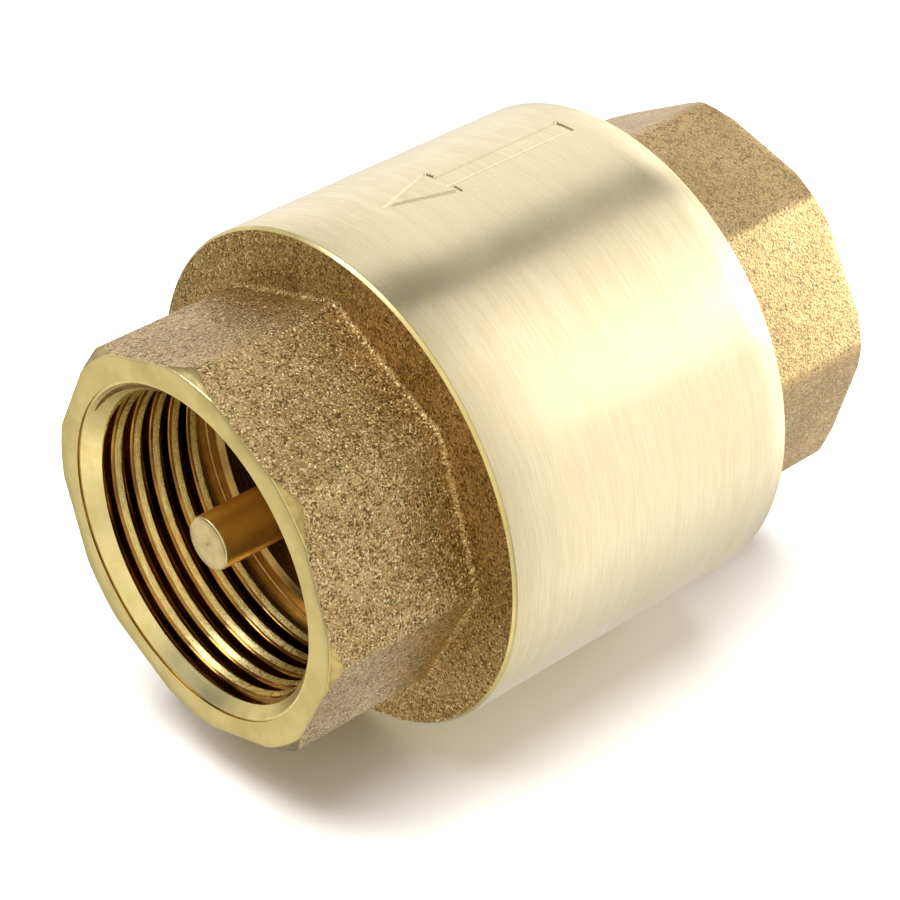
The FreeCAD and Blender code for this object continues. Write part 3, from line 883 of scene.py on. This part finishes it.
low_card = card((0.549, -0.605, -0.577), math.cos(math.radians(36)), math.cos(math.radians(16)), 0.86)
floor_card = card((0.35, 0.25, -0.90), 0.84, 0.94, 0.6)
side_card = card((0.20, -0.98, 0.07), 0.89, 0.96, 0.75)
low_cards = joined("MAXIMUM", joined("MAXIMUM", low_card, floor_card), side_card)

above = ramp(parts["Z"], 0.22, 0.5, 0.0, 0.4)
beside = ramp(parts["Y"], 0.24, 0.46, 0.0, 0.6)
inward = ramp(parts["X"], 0.30, 0.46, 1.0, 0.1)
hood = joined("MULTIPLY", joined("MAXIMUM", above, beside), inward)
hood = joined("MAXIMUM", card((0.549, 0.605, 0.577), 0.56, 0.72, 1.0), hood)
hood = joined("MAXIMUM", card((0.605, 0.549, -0.577), 0.88, 0.95, 0.85), hood)
hood = joined("MULTIPLY", hood, ramp(parts["X"], -0.05, 0.35, 0.0, 1.0))

warm_level = joined("ADD", low_cards, hood)
warm_light = sky_node("VectorMath", {0: WARM, 3: warm_level}, operation="SCALE").outputs[0]
behind = ramp(parts["X"], -0.66, -0.86, 0.0, 0.8)
extra = sky_node("VectorMath", {0: warm_light, 1: behind}, operation="ADD").outputs[0]
total = sky_node("VectorMath", {0: ring, 1: extra}, operation="ADD").outputs[0]
background = sky.nodes["Background"]
sky.links.new(total, background.inputs["Color"])
background.inputs["Strength"].default_value = 1.0

# Three lamps: a wide one overhead, hidden from reflections, a soft key and a small one behind the inlet.
overhead = bpy.data.lights.new("overhead", "SUN")
overhead.energy = 6.0
overhead.angle = math.radians(52)
overhead_lamp = bpy.data.objects.new("overhead", overhead)
overhead_lamp.visible_glossy = False
overhead_lamp.rotation_euler = (math.radians(4), 0, 0)
bpy.context.scene.collection.objects.link(overhead_lamp)

key = bpy.data.lights.new("key", "SUN")
key.energy = 0.9
key.angle = math.radians(26)
key_lamp = bpy.data.objects.new("key", key)
key_lamp.rotation_euler = Vector((0.40, -0.42, 0.81)).to_track_quat("Z", "Y").to_euler()
bpy.context.scene.collection.objects.link(key_lamp)

rear = bpy.data.lights.new("rear", "AREA")
rear.shape = "DISK"
rear.size = size.x * 0.8
rear.energy = 0.04
rear_lamp = bpy.data.objects.new("rear", rear)
rear_lamp.location = centre + Vector((-1.9, 0.85, 0.45)) * size.x
inlet_middle = centre - Vector((size.x / 2, 0, 0))
rear_lamp.rotation_euler = (inlet_middle - rear_lamp.location).to_track_quat("-Z", "Y").to_euler()
bpy.context.scene.collection.objects.link(rear_lamp)

# The photograph's view, from a perspective fit: angles, and distances in metres.
AZIMUTH, ELEVATION = math.radians(137.78), math.radians(35.25)
DISTANCE = 0.23149
AIM = Vector((0.00015, 0, 0))
OFF_RIGHT, OFF_UP = 0.0014986, 0.003198
back = Vector((math.sin(AZIMUTH) * math.cos(ELEVATION), -math.cos(AZIMUTH) * math.cos(ELEVATION),
               math.sin(ELEVATION)))
right = Vector((math.cos(AZIMUTH), math.sin(AZIMUTH), 0))
up = back.cross(right)
camera_data = bpy.data.cameras.new("camera")
camera_data.sensor_width = 36
camera_data.lens = 117.91
camera_data.clip_start = 0.01
camera = bpy.data.objects.new("camera", camera_data)
camera.location = centre + AIM + back * DISTANCE - right * OFF_RIGHT - up * OFF_UP
camera.rotation_euler = Matrix((right, up, back)).transposed().to_euler()
bpy.context.scene.collection.objects.link(camera)
bpy.context.scene.camera = camera
bpy.context.scene.view_settings.view_transform = "Standard"
